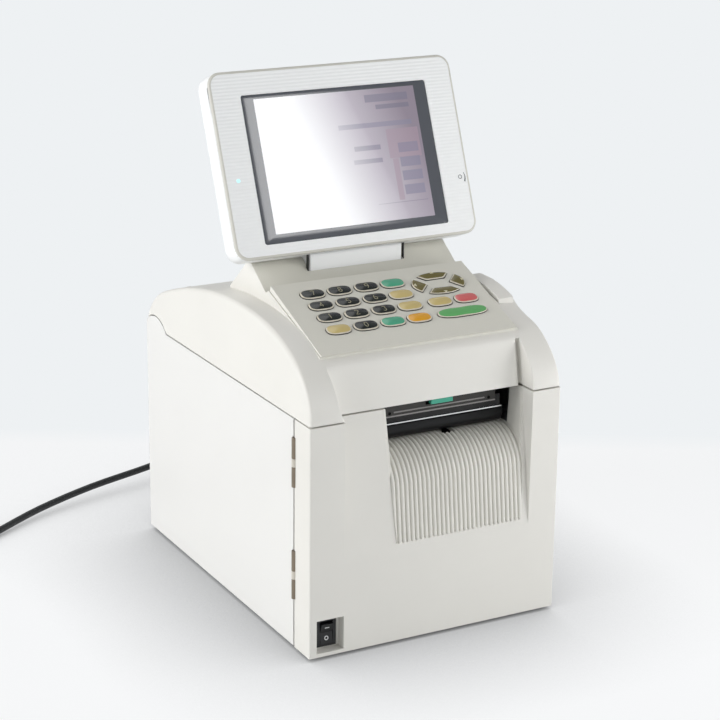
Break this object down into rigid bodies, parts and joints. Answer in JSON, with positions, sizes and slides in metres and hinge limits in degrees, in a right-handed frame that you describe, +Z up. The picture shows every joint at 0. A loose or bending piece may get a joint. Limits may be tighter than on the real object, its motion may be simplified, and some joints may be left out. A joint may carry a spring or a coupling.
{
  "type": "ticket register",
  "caption": "Desktop ticket and label register: domed printer body with ribbed issue chute, sloped keypad console, tilting display, opening cover and side door.",
  "frame": {"origin": "centre of the machine's footprint, on the floor plane under the rubber feet; the mains cord lies behind and to the left", "axes": "+Z up; the front with the issue slot faces -Y; +X is to the right of someone facing the front"},
  "size_m": [0.4093, 0.417, 0.3837],
  "materials": {
    "ivory": "fine satin texture",
    "door_ivory": "satin paint",
    "console_grey": "fine texture",
    "display_white": "satin",
    "window": "glossy",
    "lcd": "lit, pale",
    "led": "lit",
    "black_plastic": "satin",
    "rubber": "matt",
    "steel": "plated sheet",
    "dark_steel": "dark plated",
    "bronze": "dull",
    "bright": "polished edge",
    "brass": "machined",
    "nylon": "natural nylon",
    "paper": "smooth",
    "board": "solder mask",
    "teal": "glossy",
    "key_dark": "glossy dome",
    "key_sand": "glossy dome",
    "key_orange": "glossy dome",
    "key_red": "glossy dome",
    "key_green": "glossy dome",
    "key_olive": "glossy dome"
  },
  "bodies": {
    "frame": {"base_pan": "steel", "rubber_feet": "rubber", "front_cover": "ivory", "shell_panel": "ivory", "post_leaves": "bronze", "chassis": "steel", "issue_chute": "ivory", "feed_motor": "dark_steel", "print_head": "dark_steel", "tear_bar": "bright", "switch_bezel": "black_plastic", "power_supply": "black_plastic", "main_board": "board", "power_inlet": "black_plastic", "cord_connector": "black_plastic", "cord_run": "rubber", "cord_coil": "rubber", "cord_plug": "rubber"},
    "cover": {"top_cover": "ivory", "console_body": "console_grey", "keypad_cap": "console_grey", "keypad_board": "board", "display_arm": "console_grey"},
    "display": {"display_bezel": "display_white", "display_housing": "display_white", "display_window": "window", "lcd_panel": "lcd", "status_led": "led"},
    "door": {"side_door": "door_ivory", "door_leaves": "bronze"},
    "release": {"release_lever": "ivory"},
    "rocker": {"switch_rocker": "black_plastic"},
    "head_latch": {"head_lever": "teal"},
    "platen": {"platen_roller": "rubber", "platen_gear": "nylon"},
    "pinion": {"motor_pinion": "brass"},
    "roll": {"paper_roll": "paper"},
    "key_0": {"key_0": "key_dark"},
    "key_1": {"key_1": "key_dark"},
    "key_2": {"key_2": "key_dark"},
    "key_3": {"key_3": "key_dark"},
    "key_4": {"key_4": "key_dark"},
    "key_5": {"key_5": "key_dark"},
    "key_6": {"key_6": "key_dark"},
    "key_7": {"key_7": "key_dark"},
    "key_8": {"key_8": "key_dark"},
    "key_9": {"key_9": "key_dark"},
    "key_sand_1": {"key_sand_1": "key_sand"},
    "key_sand_2": {"key_sand_2": "key_sand"},
    "key_sand_3": {"key_sand_3": "key_sand"},
    "key_sand_4": {"key_sand_4": "key_sand"},
    "key_teal_1": {"key_teal_1": "teal"},
    "key_teal_2": {"key_teal_2": "teal"},
    "key_orange": {"key_orange": "key_orange"},
    "key_red": {"key_red": "key_red"},
    "key_green": {"key_green": "key_green"},
    "key_up": {"key_up": "key_olive"},
    "key_down": {"key_down": "key_olive"},
    "key_left": {"key_left": "key_olive"},
    "key_right": {"key_right": "key_olive"}
  },
  "joints": [
    {"name": "cover_hinge", "type": "hinge", "parent": "frame", "child": "cover", "pos_m": [0.0008, 0.1217, 0.155], "axis": [-1, 0, 0], "range_deg": [0, 50]},
    {"name": "display_tilt", "type": "hinge", "parent": "cover", "child": "display", "pos_m": [0.0008, -0.003, 0.269], "axis": [-1, 0, 0], "range_deg": [-8, 20]},
    {"name": "door_hinge", "type": "hinge", "parent": "frame", "child": "door", "pos_m": [-0.0988, -0.1151, 0.093], "axis": [0, 0, 1], "range_deg": [0, 100]},
    {"name": "cover_release", "type": "hinge", "parent": "cover", "child": "release", "pos_m": [0.0908, -0.041, 0.2165], "axis": [-1, 0, 0], "range_deg": [0, 6], "stiffness_Nm_per_rad": 0.3, "springref_deg": -11.46},
    {"name": "power_rocker", "type": "hinge", "parent": "frame", "child": "rocker", "pos_m": [-0.08285, -0.1295, 0.018], "axis": [-1, 0, 0], "range_deg": [0, 14]},
    {"name": "head_release", "type": "hinge", "parent": "frame", "child": "head_latch", "pos_m": [0.0148, -0.089, 0.177], "axis": [-1, 0, 0], "range_deg": [0, 10]},
    {"name": "platen_spin", "type": "hinge", "parent": "frame", "child": "platen", "pos_m": [0.0008, -0.103, 0.1484], "axis": [1, 0, 0], "continuous": true},
    {"name": "pinion_spin", "type": "hinge", "parent": "frame", "child": "pinion", "pos_m": [0.0808, -0.08718, 0.12099], "axis": [1, 0, 0], "continuous": true},
    {"name": "roll_spin", "type": "hinge", "parent": "frame", "child": "roll", "pos_m": [0.0008, 0.011, 0.111], "axis": [1, 0, 0], "continuous": true},
    {"name": "key_0_press", "type": "slide", "parent": "cover", "child": "key_0", "axis": [0, 0.3584, -0.9336], "range_m": [0, 0.0015], "stiffness_N_per_m": 250, "springref_m": -0.001},
    {"name": "key_1_press", "type": "slide", "parent": "cover", "child": "key_1", "axis": [0, 0.3584, -0.9336], "range_m": [0, 0.0015], "stiffness_N_per_m": 250, "springref_m": -0.001},
    {"name": "key_2_press", "type": "slide", "parent": "cover", "child": "key_2", "axis": [0, 0.3584, -0.9336], "range_m": [0, 0.0015], "stiffness_N_per_m": 250, "springref_m": -0.001},
    {"name": "key_3_press", "type": "slide", "parent": "cover", "child": "key_3", "axis": [0, 0.3584, -0.9336], "range_m": [0, 0.0015], "stiffness_N_per_m": 250, "springref_m": -0.001},
    {"name": "key_4_press", "type": "slide", "parent": "cover", "child": "key_4", "axis": [0, 0.3584, -0.9336], "range_m": [0, 0.0015], "stiffness_N_per_m": 250, "springref_m": -0.001},
    {"name": "key_5_press", "type": "slide", "parent": "cover", "child": "key_5", "axis": [0, 0.3584, -0.9336], "range_m": [0, 0.0015], "stiffness_N_per_m": 250, "springref_m": -0.001},
    {"name": "key_6_press", "type": "slide", "parent": "cover", "child": "key_6", "axis": [0, 0.3584, -0.9336], "range_m": [0, 0.0015], "stiffness_N_per_m": 250, "springref_m": -0.001},
    {"name": "key_7_press", "type": "slide", "parent": "cover", "child": "key_7", "axis": [0, 0.3584, -0.9336], "range_m": [0, 0.0015], "stiffness_N_per_m": 250, "springref_m": -0.001},
    {"name": "key_8_press", "type": "slide", "parent": "cover", "child": "key_8", "axis": [0, 0.3584, -0.9336], "range_m": [0, 0.0015], "stiffness_N_per_m": 250, "springref_m": -0.001},
    {"name": "key_9_press", "type": "slide", "parent": "cover", "child": "key_9", "axis": [0, 0.3584, -0.9336], "range_m": [0, 0.0015], "stiffness_N_per_m": 250, "springref_m": -0.001},
    {"name": "key_sand_1_press", "type": "slide", "parent": "cover", "child": "key_sand_1", "axis": [0, 0.3584, -0.9336], "range_m": [0, 0.0015], "stiffness_N_per_m": 250, "springref_m": -0.001},
    {"name": "key_sand_2_press", "type": "slide", "parent": "cover", "child": "key_sand_2", "axis": [0, 0.3584, -0.9336], "range_m": [0, 0.0015], "stiffness_N_per_m": 250, "springref_m": -0.001},
    {"name": "key_sand_3_press", "type": "slide", "parent": "cover", "child": "key_sand_3", "axis": [0, 0.3584, -0.9336], "range_m": [0, 0.0015], "stiffness_N_per_m": 250, "springref_m": -0.001},
    {"name": "key_sand_4_press", "type": "slide", "parent": "cover", "child": "key_sand_4", "axis": [0, 0.3584, -0.9336], "range_m": [0, 0.0015], "stiffness_N_per_m": 250, "springref_m": -0.001},
    {"name": "key_teal_1_press", "type": "slide", "parent": "cover", "child": "key_teal_1", "axis": [0, 0.3584, -0.9336], "range_m": [0, 0.0015], "stiffness_N_per_m": 250, "springref_m": -0.001},
    {"name": "key_teal_2_press", "type": "slide", "parent": "cover", "child": "key_teal_2", "axis": [0, 0.3584, -0.9336], "range_m": [0, 0.0015], "stiffness_N_per_m": 250, "springref_m": -0.001},
    {"name": "key_orange_press", "type": "slide", "parent": "cover", "child": "key_orange", "axis": [0, 0.3584, -0.9336], "range_m": [0, 0.0015], "stiffness_N_per_m": 250, "springref_m": -0.001},
    {"name": "key_red_press", "type": "slide", "parent": "cover", "child": "key_red", "axis": [0, 0.3584, -0.9336], "range_m": [0, 0.0015], "stiffness_N_per_m": 250, "springref_m": -0.001},
    {"name": "key_green_press", "type": "slide", "parent": "cover", "child": "key_green", "axis": [0, 0.3584, -0.9336], "range_m": [0, 0.0015], "stiffness_N_per_m": 250, "springref_m": -0.001},
    {"name": "key_up_press", "type": "slide", "parent": "cover", "child": "key_up", "axis": [0, 0.3584, -0.9336], "range_m": [0, 0.0015], "stiffness_N_per_m": 250, "springref_m": -0.001},
    {"name": "key_down_press", "type": "slide", "parent": "cover", "child": "key_down", "axis": [0, 0.3584, -0.9336], "range_m": [0, 0.0015], "stiffness_N_per_m": 250, "springref_m": -0.001},
    {"name": "key_left_press", "type": "slide", "parent": "cover", "child": "key_left", "axis": [0, 0.3584, -0.9336], "range_m": [0, 0.0015], "stiffness_N_per_m": 250, "springref_m": -0.001},
    {"name": "key_right_press", "type": "slide", "parent": "cover", "child": "key_right", "axis": [0, 0.3584, -0.9336], "range_m": [0, 0.0015], "stiffness_N_per_m": 250, "springref_m": -0.001}
  ],
  "couplings": [
    {"joint": "pinion_spin", "follows": "platen_spin", "ratio": -2.5}
  ]
}
